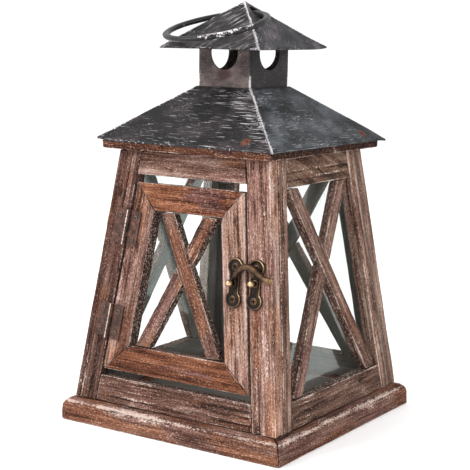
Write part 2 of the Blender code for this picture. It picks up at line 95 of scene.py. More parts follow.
class Finish:
    """A material being mixed, layer by layer, into one Principled shader."""

    def __init__(self, name, **constants):
        self.material = bpy.data.materials.new(name)
        self.material.use_nodes = True
        self.tree = self.material.node_tree
        self.shader = self.tree.nodes["Principled BSDF"]
        for socket, value in constants.items():
            self.shader.inputs[socket.replace("_", " ")].default_value = value

    def feed(self, socket, value):
        """Link a layer to a socket, or set the socket to a constant."""
        if isinstance(value, Layer):
            self.tree.links.new(value.socket, socket)
        else:
            socket.default_value = value

    def node(self, kind, settings=None, inputs=None, output=0):
        """Add a node: its settings first, then its inputs as layers or constants."""
        made = self.tree.nodes.new("ShaderNode" + kind)
        for name, value in (settings or {}).items():
            if name == "stops":
                for stop, (place, colour) in zip_stops(made.color_ramp, value):
                    stop.position, stop.color = place, (*colour, 1)
            else:
                setattr(made, name, value)
        for name, value in (inputs or {}).items():
            self.feed(made.inputs[name], value)
        return Layer(self, made.outputs[output])

    def attribute(self, name):
        """The three values that a piece's mesh carries under this name."""
        vector = self.node("Attribute", {"attribute_name": name}, output="Vector")
        return vector, *(self.node("SeparateXYZ", {}, {0: vector}, axis) for axis in range(3))

    def stretched(self, vector, stretch):
        return self.node("VectorMath", {"operation": "MULTIPLY"}, {0: vector, 1: stretch})

    def cloud(self, vector, stretch, detail=3.0, roughness=0.55):
        """Noise whose spots are 1 / stretch long in each direction."""
        return self.node("TexNoise", {}, {"Vector": self.stretched(vector, stretch), "Scale": 1.0,
                                          "Detail": detail, "Roughness": roughness})

    def ramp(self, value, stops):
        """A colour for each value, from (value, colour) stops."""
        return self.node("ValToRGB", {"stops": stops}, {0: value})

    def mix(self, share, below, above, blend="MIX"):
        """Colours as links or as red, green, blue."""
        colours = [c if isinstance(c, Layer) else (*c, 1) for c in (below, above)]
        return self.node("Mix", {"data_type": "RGBA", "blend_type": blend},
                         {0: share, 6: colours[0], 7: colours[1]}, 2)

    def surface(self, colour, roughness, height=None, depth=0.0002):
        """Feed the shader, with height as a bump of this depth, and return the material."""
        self.feed(self.shader.inputs["Base Color"], colour)
        self.feed(self.shader.inputs["Roughness"], roughness)
        if height is not None:
            bump = self.node("Bump", {}, {"Height": height, "Distance": depth, "Strength": 1.0})
            self.feed(self.shader.inputs["Normal"], bump)
        return self.material


def zip_stops(ramp, stops):
    """A colour ramp's own stops, as many as are needed, each with what it is to hold."""
    while len(ramp.elements) < len(stops):
        ramp.elements.new(1.0)
    return zip(ramp.elements, stops)


def brushed_wood(name, dark, body, pale, wash, inside):
    """Softwood with its soft grain brushed out: dark furrows, stained ridges, pale wash on top.

    Sawn edges and edge faces are darker and speckled, partly as painted shade, and the faces inside
    the lantern are painted plain. Each board's colour is multiplied by its painted light and shade.
    """
    finish = Finish(name, Specular_IOR_Level=0.12)
    grain = finish.attribute("grain")[0]
    _, arris, relief, sawn = finish.attribute("wear")
    _, redness, light, inner = finish.attribute("stain")
    fine = finish.cloud(grain, (0.055, 1.7, 1.7), 5.0, 0.68)
    broad = finish.cloud(grain, (0.014, 0.30, 0.30), 3.0, 0.5)
    patch = finish.cloud(grain, (0.045, 0.12, 0.12), 3.0, 0.6)
    tinge = finish.cloud(grain, (0.022, 0.075, 0.075), 2.0, 0.5)
    speck = finish.cloud(grain, (0.85, 1.5, 1.5), 3.0, 0.75)
    furrow = finish.cloud(grain, (0.022, 0.8, 0.8), 3.0, 0.55)
    # Stain by the ridge's height, then tinges of violet, yellow and orange in patches.
    ridge = (fine * 0.55 + broad * 0.45 + relief * 0.12 + (speck - 0.5) * 0.62
             + (patch - 0.5) * 0.25)
    colour = finish.ramp(ridge, [(0.32, dark), (0.43, body), (0.55, pale), (0.69, wash)])
    orange = finish.mix(0.9, colour, (0.60, 0.385, 0.235), "OVERLAY")
    violet = finish.mix(0.9, colour, (0.49, 0.385, 0.415), "OVERLAY")
    colour = finish.mix((tinge.above(0.56, 0.40) * (redness * 1.3 + 0.2) * 0.75).clamped(),
                        colour, violet)
    yellow = finish.mix(0.9, colour, (0.455, 0.495, 0.435), "OVERLAY")
    colour = finish.mix(((0.25 - redness) * 1.6).clamped(), colour, yellow)
    colour = finish.mix((tinge.above(0.62 - redness * 0.30, 0.80 - redness * 0.42)
                         * (redness + 0.25)).clamped(), colour, orange)
    # Dark cracks, sawn edges, painted shade on edge faces, and the board's painted light and shade.
    crack = furrow.above(0.375, 0.325)
    colour = finish.mix(crack * 0.7, colour, dark)
    shaded = finish.mix(0.6, colour, (0.060, 0.050, 0.044))
    colour = finish.mix((sawn * 1.1).clamped(), colour, shaded)
    shade = finish.node("CombineColor", {}, {0: light, 1: light * (light * 0.25 + 0.75),
                                             2: light * (light * 0.32 + 0.68)})
    colour = finish.mix(1.0, colour, shade, "MULTIPLY")
    # Whitewash left in the pores, arrises rubbed back to it, and the plain wash inside.
    dust = (speck * 0.8 + fine * 0.2 + sawn * 0.05).above(0.58, 0.63) * (sawn * 1.1 + 0.30)
    colour = finish.mix((dust * (1 - inner)).clamped(), colour, wash)
    rubbed = (arris + (speck - 0.5) * 3.0 + (patch - 0.5) * 3.0).above(0.60, 1.0)
    colour = finish.mix(rubbed * 0.70, colour, wash)
    colour = finish.mix(inner * 0.85, colour, finish.ramp(patch, [(0.4, inside), (0.62, (
        0.8 * inside[0], 0.8 * inside[1], 0.8 * inside[2]))]))
    height = (fine * 0.7 + speck * (sawn * 0.6 + 0.7) - crack * 1.0) * (1 - inner * 0.8)
    return finish.surface(colour, 0.72 + speck * 0.2, height, 0.0006)


wood = brushed_wood("weathered_wood", (0.040, 0.020, 0.015), (0.180, 0.097, 0.071),
                    (0.350, 0.228, 0.182), (0.67, 0.53, 0.46), (0.165, 0.155, 0.140))

ALONG, ACROSS = 3.0, 0.9        # mesh cells along and across the grain, mm
BRUSHED = 0.28                  # depth of the brushed grain, mm
BASE_ROUND = 6.0                # rounding of the base's top edge, mm
MID_HEIGHT = 80                 # where a stile that fades towards the ground has its full tone, mm
REED = (-1.3, -0.8, -0.4, 0, 0.4, 0.8, 1.3)     # mesh lines across one reed, mm


def faces_of(node):
    """A sawn board's six flat sides as (normal, point) pairs: two ends, two edges, two faces."""
    found = []
    for face in sorted(frame["nodes"][node].data.polygons, key=lambda face: -face.area):
        for side in found:
            if side["normal"].dot(face.normal) > 0.9995:
                side["area"] += face.area
                side["point"] += face.area * face.center
                break
        else:
            found.append({"normal": face.normal.copy(), "area": face.area,
                          "point": face.area * face.center})
    for side in found:
        side["point"] /= side["area"]
    found.sort(key=lambda side: -side["area"])
    top = found[0]
    under = min(found, key=lambda side: side["normal"].dot(top["normal"]))
    around = [side for side in found if abs(side["normal"].dot(top["normal"])) < 0.35][:4]
    edges = min(((a, b) for a in around for b in around if a is not b),
                key=lambda pair: pair[0]["normal"].dot(pair[1]["normal"]))
    ends = tuple(side for side in around if side not in edges)
    if (ends[0]["point"] - ends[1]["point"]).length < (edges[0]["point"] - edges[1]["point"]).length:
        ends, edges = edges, ends
    return ends, edges, (top, under)


def corners_of(node):
    """The eight sharp corners of a sawn board, indexed by end, edge and face."""
    sides = faces_of(node)
    corners = np.zeros((2, 2, 2, 3))
    for index in product(range(2), repeat=3):
        meeting = [sides[way][index[way]] for way in range(3)]
        normals = np.array([side["normal"] for side in meeting])
        reach = [side["normal"].dot(side["point"]) for side in meeting]
        corners[index] = np.linalg.solve(normals, reach)
    return corners


def stations(length, step, rounding):
    """Grid lines along one side of a board, closer together at its rounded corners."""
    corner = rounding * np.array([0, 0.35, 0.75, 1.15])
    lines = max(2, round((length - 2 * corner[-1]) / step) + 1)
    return np.concatenate([corner[:-1], np.linspace(corner[-1], length - corner[-1], lines),
                           length - corner[-2::-1]])


def paint(mesh, label, values):
    """Give a mesh three numbers at each point, for its finish to read."""
    kept = mesh.attributes.get(label) or mesh.attributes.new(label, "FLOAT_VECTOR", "POINT")
    kept.data.foreach_set("vector", np.array(values, np.float32).ravel())


def skin_from(name, points, faces, paints, sharp=None, cut_caps=False):
    """A smooth closed mesh, painted, with its faces outward.

    sharp is the angle in degrees from which edges stay crisp, and cut_caps cuts flat caps with
    many corners into triangles.
    """
    mesh = bpy.data.meshes.new(name)
    mesh.from_pydata(points, [], faces)
    for label, values in paints.items():
        paint(mesh, label, values)
    shape = bmesh.new()
    shape.from_mesh(mesh)
    if cut_caps:
        bmesh.ops.triangulate(shape, faces=[face for face in shape.faces if len(face.verts) > 4])
    bmesh.ops.recalc_face_normals(shape, faces=shape.faces)
    shape.to_mesh(mesh)
    shape.free()
    mesh.shade_smooth()
    if sharp:
        mesh.set_sharp_from_angle(angle=math.radians(sharp))
    return mesh


def skin_mesh(name, grid, place):
    """A closed mesh over a block's outside: grid holds its lattice, place moves its points."""
    outside = np.zeros(grid.shape[:3], bool)
    for way in range(3):
        np.moveaxis(outside, way, 0)[[0, -1]] = True
    number = np.full(grid.shape[:3], -1)
    number[outside] = np.arange(outside.sum())
    quads = []
    for way in range(3):
        for sheet in (np.moveaxis(number, way, 0)[0], np.moveaxis(number, way, 0)[-1]):
            quads.append(np.stack([sheet[:-1, :-1], sheet[1:, :-1], sheet[1:, 1:],
                                   sheet[:-1, 1:]], -1).reshape(-1, 4))
    points, paints = place(grid[outside])
    return skin_from(name, points.tolist(), np.concatenate(quads).tolist(), paints)


def rough(points, *cell):
    """Smooth noise, about -1 to 1, at each point, with cells of these sizes."""
    return np.array([noise.noise(point) for point in (points / cell).tolist()])


def piece_from(name, mesh, body, stands_for=()):
    """Put a finished mesh in the scene, riding on its body in place of its CAD nodes, if any."""
    piece = bpy.data.objects.new(name, mesh)
    bpy.context.collection.objects.link(piece)
    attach(piece, body)
    if stands_for:
        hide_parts(*stands_for)
    return piece


board_numbers = count(1)
SEED_STEP = 37.7                # how far apart in the noise two boards' grain is, mm


def timber(node, body="body", finish=wood, facing=None, redness=0.3, light=1.0,
           edge_light=0.7, edge_dark=0.6, rounding=1.1, sawn=0.0, round_top=None, grooves=(),
           slant=0.0, fade=0.0, dim=(0, 0, 0)):
    """A CAD board again as brushed timber with worn edges. The grain runs along it.

    facing points out of its wall, grooves are millimetres from its lower or left edge, slant
    turns the grain on its face, fade darkens it towards the ground, light is its painted light and
    shade, edge_light lights or shades its edge faces as painted light, edge_dark darkens them with
    the sawn look and painted shade, and the side that dim points to gets painted shade, darker by
    dim's length.
    """
    seed = SEED_STEP * next(board_numbers)
    corners = corners_of(node)
    ways = [(np.take(corners, 1, way) - np.take(corners, 0, way)).mean((0, 1))
            for way in range(3)]
    size = np.array([np.linalg.norm(way) for way in ways]) / MM
    frame_ways = np.array(ways) / MM / size[:, None]
    lines = [stations(size[way], (ALONG, ACROSS, ACROSS)[way], rounding) for way in range(3)]
    if ways[1].sum() < 0:
        grooves = [size[1] - groove for groove in grooves]
    extra = [groove + step for groove in grooves for step in REED]
    lines[1] = np.unique(np.round(np.concatenate([lines[1], extra]), 3))
    grid = np.stack(np.meshgrid(*lines, indexing="ij"), -1)

    def place(points):
        """Points of the plain block, in mm, as points of the worn board, and their paint."""
        # Round the edges by radii that wander.
        shifted = points + seed
        wander = 1 + 0.45 * rough(shifted, 14, 6, 6)
        radii = np.stack([0.6 * rounding * wander, rounding * wander, rounding * wander], -1)
        if round_top:
            near = (points[:, 1] > size[1] / 2) == round_top[0]
            near &= (points[:, 2] > size[2] / 2) == round_top[1]
            radii[near, 1:] = BASE_ROUND
        core = np.clip(points, radii, size - radii)
        bend = (points - core) / radii
        bend /= np.linalg.norm(bend, axis=1)[:, None]
        # Brush the soft grain out, knock a few dents in, and cut the reeds.
        furrows = 1 - np.abs(rough(shifted, 60, 2.6, 2.6))
        relief = (rough(shifted, 26, 1.3, 1.3) * 0.5 + rough(shifted, 90, 5, 5) * 0.35
                  + rough(shifted, 2.2, 2.0, 2.0) * (0.2 + 0.5 * sawn) - 0.5 * furrows ** 6)
        facing_end = np.abs(bend[:, 0]) > 0.7
        dent = np.clip(rough(shifted, 9, 5, 5) - 0.42, 0, 1) * 1.6
        arris = np.clip((1 - np.abs(bend).max(1)) / 0.29, 0, 1)
        for groove in grooves:
            gap = points[:, 1] - groove - 0.3 * rough(shifted, 12, 50, 50)
            kept = np.clip(0.55 + 0.9 * rough(shifted, 17, 40, 40), 0, 1)
            cut = np.exp(-(gap / 0.6) ** 2) * kept
            dent = dent + 0.25 * cut
            relief = relief - 0.7 * cut
            arris = np.maximum(arris, 0.75 * np.exp(-((gap - 1.0) / 0.5) ** 2) * kept)
        depth = BRUSHED * np.where(facing_end, 0.3, 1.0) * (relief - 0.6) - dent
        moved = core + bend * radii + bend * depth[:, None]
        # Fit the block between the board's real corners.
        share = moved / size
        world = np.zeros_like(moved)
        for index in product(range(2), repeat=3):
            weight = np.prod([share[:, way] if index[way] else 1 - share[:, way]
                              for way in range(3)], axis=0)
            world += weight[:, None] * corners[index]
        # Worn marks for the finish: rubbed arrises, relief, sawn edges with painted shade on edge
        # faces, the board's painted light and shade, and the inner wash.
        edge_face = np.abs(bend[:, 1]) ** 2 * (0 if round_top else 1)
        inner = np.zeros(len(points))
        if facing:
            inner = np.clip((-(bend @ frame_ways) @ np.array(facing) - 0.35) / 0.4, 0, 1)
        wear = np.stack([arris * (1 - inner), relief - 2 * dent,
                         np.clip(edge_face * edge_dark + sawn, 0, 1)], -1)
        # Painted light and shade: the board's brightness, lighter or darker edge faces, fade, and
        # the dim side.
        tone = light * (1 - (1 - edge_light) * edge_face)
        tone *= 1 + fade * (world[:, 2] / MM / MID_HEIGHT - 1)
        tone *= 1 - np.clip(bend @ frame_ways @ np.array(dim), 0, 1)
        stain = np.stack([np.full(len(points), redness), tone, inner], -1)
        grain = moved + seed
        turn = math.radians(slant)
        grain[:, :2] = grain[:, :2] @ np.array([[math.cos(turn), math.sin(turn)],
                                                [-math.sin(turn), math.cos(turn)]])
        return world, {"grain": grain, "wear": wear, "stain": stain}

    mesh = skin_mesh(node + "_timber", grid, place)
    mesh.materials.append(finish)
    return piece_from(node + "_timber", mesh, body, [node])


OUTWARD = {"front": Vector((0, -1, 0)), "right": Vector((1, 0, 0)), "back": Vector((0, 1, 0)),
           "left": Vector((-1, 0, 0))}
# Each strip and the floor panel get their own painted light and shade; the right strip darkest.
for wall, outward in OUTWARD.items():
    ends, edges, faces = faces_of("base_strip_" + wall)
    outer = edges[1]["normal"].dot(outward) > 0.5
    upper = faces[1]["normal"].z > 0.5
    timber("base_strip_" + wall, round_top=(outer, upper), redness=0.5, edge_light=1.0,
           light={"front": 0.58, "right": 0.44}.get(wall, 0.62))
timber("floor_panel", light=0.62, redness=0.0, facing=(0, 0, -1))

# ---------------------------------------------------------------------------------------------
# Walls: two stiles and two rails each, butted and nailed. The front and back frames run the
# full width and the side frames fit between them, so front stiles show on the lantern's sides.
# Rails and stiles are lightly reeded.

# Painted light and shade for each stile and rail; the stiles' edge faces painted lighter, the rails'
# darker.
STILE_LIGHT = {("front", "left"): 0.34, ("front", "right"): 0.90, ("right", "left"): 0.58,
               ("right", "right"): 0.72}
RAIL_LIGHT = {("front", "bottom"): 0.49, ("front", "top"): 0.56, ("right", "bottom"): 0.40,
              ("right", "top"): 0.54}
for wall, outward in OUTWARD.items():
    for stile in ("left", "right"):
        timber(f"{wall}_stile_{stile}", facing=outward, edge_light=1.1, edge_dark=0.15,
               light=STILE_LIGHT.get((wall, stile), 0.65), redness=0.4 if wall == "front" else 0.05,
               grooves=(3.6, 9.8) if stile == "left" else (5.2, 12.4),
               fade={("front", "left"): 0.3, ("front", "right"): 0.1}.get((wall, stile), 0))
    for rail in ("bottom", "top"):
        timber(f"{wall}_rail_{rail}", facing=outward,
               light=RAIL_LIGHT.get((wall, rail), 0.54),
               redness={("front", rail): 0.3, ("right", "top"): -0.4}.get((wall, rail), 0.0),
               grooves=(4.2, 8.6) if rail == "top" else (3.4, 7.2, 10.6, 12.9),
               slant=24 if (wall, rail) == ("right", "top") else 0)

# ---------------------------------------------------------------------------------------------
# Crossed bars of the fixed windows: rough-sawn laths, one whole and two halves fitted to it.

# The laths get painted shade, and their edge faces the sawn look with some painted shade.
for wall in ("right", "back", "left"):
    for lath in ("whole", "upper", "lower"):
        timber(f"{wall}_bar_{lath}", facing=OUTWARD[wall], sawn=0.15, light=0.56, redness=0.2,
               edge_light=1.0, edge_dark=0.25)

# ---------------------------------------------------------------------------------------------
# Door: four mitred members and its own crossed bars, stained a warmer brown than the walls.

# Painted light and shade per member: the right stile painted brightest, the left stile's edge faces
# painted darker, the rails and laths shaded.
for member, light, edge_light, rounding in (("stile_left", 0.66, 0.5, 1.1),
                                            ("stile_right", 1.06, 1.1, 0.7)):
    timber("door_" + member, "door", facing=OUTWARD["front"], redness=0.3,
           light=light, grooves=(5.2, 11.0), edge_light=edge_light, rounding=rounding)
for member, light in (("rail_top", 0.53), ("rail_bottom", 0.44)):
    timber("door_" + member, "door", facing=OUTWARD["front"], redness=0.85,
           light=light)
for lath in ("whole", "upper", "lower"):
    timber("door_bar_" + lath, "door", facing=OUTWARD["front"], redness=0.55,
           light=0.60, sawn=0.2, edge_light=0.5)

# ---------------------------------------------------------------------------------------------
# Glass: four thin panes of clear float glass, slipped in behind the bars, a little dusty.


def pane_finish():
    """Clear glass with a faint green cast, and a smear of dust."""
    finish = Finish("pane_glass")
    place = finish.node("TexCoord", output="Object")
    smear = finish.cloud(place, (60, 60, 25), 4.0, 0.6)
    tint = finish.node("BsdfTransparent", {}, {"Color": (0.982, 0.990, 0.986, 1)})
    gloss = finish.node("BsdfGlossy", {}, {"Color": (0.75, 0.8, 0.78, 1), "Roughness": 0.08})
    dust = finish.node("BsdfDiffuse", {}, {"Color": (0.42, 0.43, 0.40, 1)})
    sheen = finish.node("Fresnel", {}, {"IOR": 1.35})
    clean = finish.node("MixShader", {}, {0: sheen * 0.22, 1: tint, 2: gloss})
    dusty = finish.node("MixShader", {}, {0: smear.above(0.45, 0.8) * 0.02, 1: clean, 2: dust})
    output = finish.tree.nodes["Material Output"]
    finish.tree.nodes.remove(finish.shader)
    finish.feed(output.inputs["Surface"], dusty)
    return finish.material


glass = pane_finish()
for wall in ("door", "right", "back", "left"):
    frame["nodes"][wall + "_glass"].material_slots[0].material = glass

# ---------------------------------------------------------------------------------------------
# Top board: one square board that closes the body and carries the roof, with a round vent in
# the middle for the candle's heat. Only its edge shows, under the eaves.

VENT_RADIUS = 15 * MM


def round_cutter(radius, length, middle, axis="Z", sides=64):
    """A round bar along an axis, to drill with."""
    turn = {"X": Matrix.Rotation(math.pi / 2, 4, "Y"), "Y": Matrix.Rotation(math.pi / 2, 4, "X"),
            "Z": Matrix.Identity(4)}[axis]
    shape = bmesh.new()
    bmesh.ops.create_cone(shape, cap_ends=True, segments=sides, radius1=radius, radius2=radius,
                          depth=length, matrix=Matrix.Translation(middle) @ turn)
    mesh = bpy.data.meshes.new("cutter")
    shape.to_mesh(mesh)
    shape.free()
    return mesh


def settled(piece):
    """Replace a piece's mesh by what its modifiers make of it."""
    bpy.context.view_layer.update()
    shown = piece.evaluated_get(bpy.context.evaluated_depsgraph_get())
    mesh = bpy.data.meshes.new_from_object(shown, preserve_all_data_layers=True,
                                           depsgraph=bpy.context.evaluated_depsgraph_get())
    piece.modifiers.clear()
    piece.data = mesh
    return piece


PAINTED = ("grain", "sheet", "wear", "stain")


def read_vectors(mesh, label):
    """The three numbers that paint gave each point of a mesh."""
    values = np.empty(3 * len(mesh.vertices), np.float32)
    mesh.attributes[label].data.foreach_get("vector", values)
    return values.reshape(-1, 3)


def drilled(piece, *cutters):
    """Drill holes through a piece for good. New points take their paint from the nearest old."""
    tools = []
    kept = {label: read_vectors(piece.data, label) for label in PAINTED
            if label in piece.data.attributes}
    nearest = KDTree(len(piece.data.vertices))
    for vertex in piece.data.vertices:
        nearest.insert(vertex.co, vertex.index)
    nearest.balance()
    for cutter in cutters:
        tool = bpy.data.objects.new("drill", cutter)
        bpy.context.collection.objects.link(tool)
        hole = piece.modifiers.new("hole", "BOOLEAN")
        hole.object, hole.solver = tool, "EXACT"
        tools.append(tool)
    settled(piece)
    for tool in tools:
        bpy.data.objects.remove(tool)
    sources = [nearest.find(vertex.co)[1] for vertex in piece.data.vertices]
    for label, values in kept.items():
        paint(piece.data, label, values[sources])
    return piece


board_low, board_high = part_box("top_board")
# The board's edge gets painted shade, and its right side more painted shade.
top_board = timber("top_board", light=0.50, redness=0.9, edge_light=1.0,
                   edge_dark=0.2, dim=(0.8, 0, 0))
drilled(top_board, round_cutter(VENT_RADIUS, 0.03, (board_low + board_high) / 2))

# ---------------------------------------------------------------------------------------------
# Roof: one sheet of steel cut and folded into four slopes, painted dark and dry-brushed with
# silver along the slopes. The hips are rubbed bare, and the nail in each slope has rusted.


def dry_brushed(name, paints, silver, bare_metal, rust, streaks, **constants):
    """Dark paint with silver dragged across its high spots, bare edges, rust at the nails, and each
    side's painted light, shade and painted grey reflection.
    """
    finish = Finish(name, **constants)
    sheet = finish.attribute("sheet")[0]
    _, edge, relief, rusty = finish.attribute("wear")
    _, light, painted_reflection, drag = finish.attribute("stain")
    mottle = finish.cloud(sheet, (0.06, 0.085, 0.07), 5.0, 0.66)
    streak = finish.cloud(sheet, (0.075, 1.6, 1.0), 4.0, 0.6)
    patch = finish.cloud(sheet, (0.035, 0.06, 1.0), 3.0, 0.6)
    fleck = finish.cloud(sheet, (0.55, 1.5, 1.0), 4.0, 0.72)
    tone = mottle + (fleck - 0.5) * 0.45 + (streak - 0.5) * 0.30
    # The paint, and a grey copy of it mixed in as painted reflection; then painted light and shade.
    warm = finish.ramp(tone, [(0.36, paints[0]), (0.50, paints[1]), (0.64, paints[2])])
    grey = finish.ramp(tone, [(0.36, paints[0]), (0.50, (0.034, 0.038, 0.043)),
                              (0.66, (0.098, 0.106, 0.117))])
    colour = finish.mix(painted_reflection, warm, grey)
    shade = finish.node("CombineColor", {}, {0: light, 1: light, 2: light})
    colour = finish.mix(1.0, colour, shade, "MULTIPLY")
    # Silver strokes and flecks, bare metal at the hips and hem, and rust.
    dragged = (streak + relief * 0.03 + drag * 0.05).above(0.60, 0.65) * patch.above(0.36, 0.54)
    chips = (fleck + drag * 0.03).above(0.645, 0.69) * patch.above(0.38, 0.54)
    colour = finish.mix((dragged * streaks + chips * 0.7).clamped(), colour, silver)
    bare = (edge + (fleck - 0.5) * 4.2 + (patch - 0.5) * 1.6).above(0.66, 0.90)
    colour = finish.mix(bare * 0.85, colour, bare_metal)
    stained = (rusty + (fleck - 0.5) * 0.9).above(0.42, 0.80)
    colour = finish.mix(stained * 0.85, colour, rust)
    height = mottle * 0.5 + dragged * 0.35 + fleck * 0.35 + stained * 0.3
    roughness = 0.45 + mottle * 0.3 + dragged * 0.15 + stained * 0.25
    return finish.surface(colour, roughness.clamped(), height, 0.0003)


roof_metal = dry_brushed("roof_metal", [(0.003, 0.003, 0.004), (0.015, 0.011, 0.013),
                                        (0.060, 0.040, 0.043)], (0.60, 0.58, 0.59),
                         (0.80, 0.76, 0.77), (0.135, 0.048, 0.030), 0.9,
                         Specular_IOR_Level=0.22)


SHEET = 0.8 * MM
LIP = 0.9                       # how far the eave's edge is turned down, mm
COURSE = 2.2                    # height of one row of mesh cells on a slope, mm


def square_of(node, highest):
    """Half width, height and turn of the outer square at a sheet's lower or upper end."""
    points = [vertex.co for vertex in frame["nodes"][node].data.vertices]
    level = max(point.z for point in points)
    if highest:
        points = [point for point in points if point.z > level - 0.01 * MM]
    corner = max(points, key=lambda point: round(math.hypot(point.x, point.y), 6)
                 + 1e-4 * (point.x > 0 and point.y > 0))
    reach = math.hypot(corner.x, corner.y) / math.sqrt(2)
    return reach, corner.z, math.atan2(corner.y, corner.x) - math.pi / 4 if reach > MM else 0


def on_square(along, half, fold):
    """A point on the front side of a square with folded corners. along runs from -1 to 1."""
    flat = Vector((along * half, -half))
    limit = half - fold
    core = Vector((max(-limit, min(limit, flat.x)), -limit))
    return core + (flat - core).normalized() * fold


def bands(rows, ring):
    """The faces between rows of points, each of which runs once round."""
    return [(row * ring + k, row * ring + (k + 1) % ring, (row + 1) * ring + (k + 1) % ring,
             (row + 1) * ring + k) for row in range(rows - 1) for k in range(ring)]


def folded_sheet(name, points, faces, paints, body, finish, node):
    """Put a painted skin in the scene in place of its CAD node, and give it a thickness."""
    mesh = bpy.data.meshes.new(name)
    mesh.from_pydata(points, [], faces)
    for label, values in paints.items():
        paint(mesh, label, values)
    mesh.shade_smooth()
    mesh.materials.append(finish)
    piece = piece_from(name, mesh, body, [node])
    shell = piece.modifiers.new("sheet", "SOLIDIFY")
    shell.thickness, shell.offset = SHEET, -1
    return settled(piece)


def hood(node, name, body, finish, fold, bends=(), nails=(), light=(1, 1, 1, 1),
         painted_reflection=(0, 0, 0, 0), drag=(0.0, 1.0, 0.4)):
    """Four slopes of folded sheet as one skin, with soft folds, small dents and bent corners.

    fold is the hips' rounding in mm, and each bend is a corner, its lift and its pull in mm.
    light gives the front, right, back and left slopes their painted light and shade, and
    painted_reflection their painted grey reflection. drag is the angle of the brush strokes on a
    slope, and how strong they are on the front and back and on the sides.
    """
    stroke = Matrix.Rotation(-drag[0], 2)
    # Courses of points from the eave's lip up to the head, each a square's corner.
    eave_half, eave_z, eave_turn = square_of(node, False)
    head_half, head_z, head_turn = square_of(node, True)
    pointed = head_half < MM
    slope = math.hypot(eave_half - head_half, head_z - eave_z) / MM
    rise = round(slope / COURSE)
    eave_corner = eave_half * Vector((math.cos(eave_turn), math.sin(eave_turn)))
    head_corner = head_half * Vector((math.cos(head_turn), math.sin(head_turn)))
    levels = [(eave_corner * (1 - 0.1 * MM / eave_half), eave_z - LIP * MM, -LIP)]
    levels += [(eave_corner.lerp(head_corner, i / rise), eave_z + (head_z - eave_z) * i / rise,
                slope * i / rise) for i in range(rise + 1)]
    if pointed:
        levels[-1] = (0.25 * MM * eave_corner.normalized(), head_z - 0.1 * MM, slope)
    # Points round each course, closer together at the hips, dented and bent.
    side_steps = 48
    edge_line = np.linspace(-1, 1, side_steps, endpoint=False)
    edge_line = np.sign(edge_line) * (1 - (1 - np.abs(edge_line)) ** 1.15)
    points, sheet, wear, stain = [], [], [], []
    outward = np.array((head_z - eave_z, eave_half - head_half))
    outward /= np.hypot(*outward)
    for corner, z, up in levels:
        half, turned = corner.length, math.atan2(corner.y, corner.x)
        radius = min(fold * MM, half)
        for side in range(4):
            turn = Matrix.Rotation(side * math.pi / 2 + turned, 2)
            away = turn @ Vector((0, -1))
            for along in edge_line:
                flat = turn @ on_square(along, half, radius)
                spot = Vector((flat.x, flat.y, z)) / MM
                dent = 0.30 * noise.noise(spot / 16 + Vector((side * 9, 0, 3)))
                dent += 0.10 * noise.noise(spot / 5) - 0.15
                ridge = math.exp(-((1 - abs(along)) * half / MM / 1.35) ** 2)
                dent *= (1 - ridge) * min(1.0, up / 6 if up > 0 else 0.2)
                place = Vector((flat.x, flat.y, z)) + dent * MM * Vector(
                    (away.x * outward[0], away.y * outward[0], outward[1]))
                for x, y, lift, pull in bends:
                    gap = (flat - Vector((x, y)) * eave_half).length / MM
                    near = math.exp(-(gap / 8) ** 2)
                    place.z += lift * MM * near
                    place -= Vector((x, y, 0)).normalized() * pull * MM * near
                # Worn marks for the finish: bare hips and hem, rust round the nails, brush strokes;
                # and each slope's painted light and painted reflection.
                hem = math.exp(-(max(up, 0) / 0.8) ** 2)
                rust = max((math.exp(-(math.hypot(along * half / MM - x, up - y) / 4.2) ** 2)
                            for x, y in nails), default=0)
                points.append(place)
                sheet.append((*(stroke @ Vector((along * half / MM, up))), side * 60.0 + 7))
                wear.append((max(ridge * 0.92, hem * (0.3 - 0.2 * (side == 1))), dent * 3, rust))
                heavy = math.exp(-(((1 - along) * half / MM - 6) / 16) ** 2)
                stain.append((light[side], painted_reflection[side], drag[1 + side % 2] * heavy))
    ring = 4 * side_steps
    faces = bands(len(levels), ring)
    if pointed:
        faces.append(tuple((len(levels) - 1) * ring + k for k in range(ring)))
    return folded_sheet(name, points, faces, {"sheet": sheet, "wear": wear, "stain": stain},
                        body, finish, node)


NAILS = [(40.7, 6.6)]           # across and up each slope from its middle and its eave, mm
# The right slope is painted lightest and greyest, as painted light and reflection.
hood("roof", "roof_sheet", "body", roof_metal, 0.9, nails=NAILS,
     bends=[(-1, -1, 0.9, 1.6), (1, 1, -0.8, 0)], light=(0.50, 0.90, 0.6, 0.7),
     painted_reflection=(0.15, 1, 0.4, 0.4), drag=(0.0, 1.0, -1.6))

# Clout nails hold the roof to the top board: small domed heads, rusted brown.


def lathe(name, profile, place, steps, finish):
    """A mesh turned round its own z from (radius, height) points, or (radius, height, rub)."""
    points, faces, values = [], [], []
    for row, (radius, height, *rub) in enumerate(profile):
        for step in range(steps):
            angle = 2 * math.pi * step / steps
            points.append(place @ Vector((radius * math.cos(angle), radius * math.sin(angle),
                                          height)))
            values.append((rub[0] if rub else 0, 0, 0))
            if row:
                here, there = row * steps, (row - 1) * steps
                after = (step + 1) % steps
                faces.append((there + step, here + step, here + after, there + after))
    faces.append(tuple(range(steps)))
    faces.append(tuple(reversed(range((len(profile) - 1) * steps, len(profile) * steps))))
    mesh = skin_from(name, points, faces, {"wear": values}, sharp=50)
    mesh.materials.append(finish)
    return mesh


